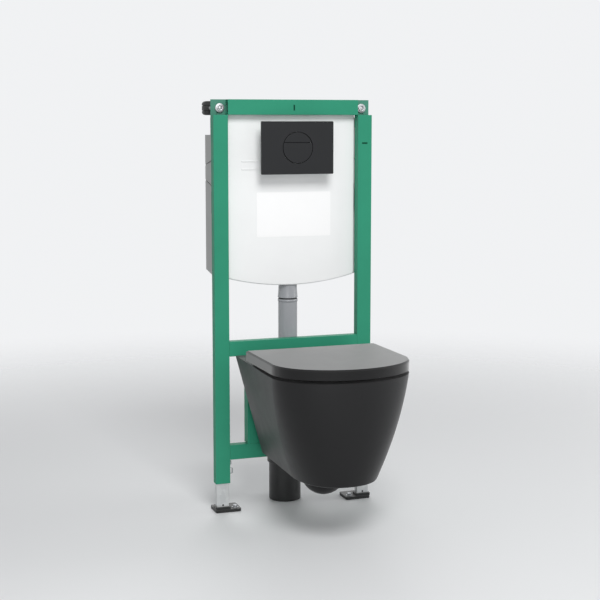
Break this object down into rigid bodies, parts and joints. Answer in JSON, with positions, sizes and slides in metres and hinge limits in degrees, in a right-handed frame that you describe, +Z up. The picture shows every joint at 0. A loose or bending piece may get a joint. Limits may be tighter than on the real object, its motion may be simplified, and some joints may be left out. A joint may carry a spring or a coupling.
{
  "type": "wall hung toilet frame",
  "caption": "Green steel pre-wall frame on telescopic feet with a concealed cistern, flush plate, pipes and a wall-hung toilet pan with seat and lid.",
  "frame": {"origin": "on the structural floor, midway between the two floor anchors, in the plane of the posts' centre lines", "axes": "+Z up along the posts, -Y out of the front towards the user, +X to the right seen from the front"},
  "size_m": [0.4562, 0.6115, 1.126],
  "materials": {
    "green_steel": "satin green powder coat",
    "galvanised_steel": "galvanised",
    "zinc_plate": "bright zinc plate",
    "black_steel": "black coat",
    "black_plastic": "matt moulded",
    "white_cistern": "smooth satin white",
    "plate_black": "soft-touch black",
    "grey_pipe": "satin grey",
    "black_rubber": "matt",
    "black_pipe": "satin black polyethylene",
    "pan_glaze": "matt anthracite glaze",
    "seat_black": "matt anthracite",
    "hinge_metal": "polished"
  },
  "bodies": {
    "feet": {"left_leg": "galvanised_steel", "right_leg": "galvanised_steel", "left_foot_plate": "black_steel", "right_foot_plate": "black_steel"},
    "frame": {"left_post": "green_steel", "right_post": "green_steel", "top_rail": "green_steel", "mid_rail": "green_steel", "low_rail": "green_steel", "left_corner_plate": "green_steel", "right_corner_plate": "green_steel", "left_stud_upright": "green_steel", "right_stud_upright": "green_steel", "waste_bracket": "galvanised_steel", "left_leg_lock_screw": "zinc_plate", "right_leg_lock_screw": "zinc_plate", "left_wall_bolt": "zinc_plate", "right_wall_bolt": "zinc_plate", "left_pan_stud": "zinc_plate", "right_pan_stud": "zinc_plate", "left_wall_pad": "black_plastic", "right_wall_pad": "black_plastic", "left_cistern_clip": "black_plastic", "right_cistern_clip": "black_plastic", "cistern_front": "white_cistern", "cistern_tank": "white_cistern", "access_shaft": "white_cistern", "flush_plate": "plate_black", "outlet_sleeve": "grey_pipe", "sleeve_ring": "black_rubber", "flush_pipe": "grey_pipe", "flush_seal": "black_rubber", "waste_bend": "black_pipe", "waste_pipe": "black_pipe", "waste_connector": "black_pipe", "pan": "pan_glaze", "left_hinge_post": "hinge_metal", "right_hinge_post": "hinge_metal"},
    "small_flush": {"small_flush_button": "plate_black"},
    "large_flush": {"large_flush_button": "plate_black"},
    "seat": {"seat_ring": "seat_black"},
    "lid": {"lid": "seat_black"}
  },
  "joints": [
    {"name": "height_adjust", "type": "slide", "parent": "feet", "child": "frame", "axis": [0, 0, 1], "range_m": [0, 0.117]},
    {"name": "small_flush", "type": "slide", "parent": "frame", "child": "small_flush", "axis": [0, 1, 0], "range_m": [0, 0.004], "stiffness_N_per_m": 900},
    {"name": "large_flush", "type": "slide", "parent": "frame", "child": "large_flush", "axis": [0, 1, 0], "range_m": [0, 0.004], "stiffness_N_per_m": 900},
    {"name": "seat_hinge", "type": "hinge", "parent": "frame", "child": "seat", "pos_m": [0, -0.1555, 0.455], "axis": [-1, 0, 0], "range_deg": [0, 95]},
    {"name": "lid_hinge", "type": "hinge", "parent": "seat", "child": "lid", "pos_m": [0, -0.1555, 0.455], "axis": [1, 0, 0], "range_deg": [-97, 0]}
  ]
}
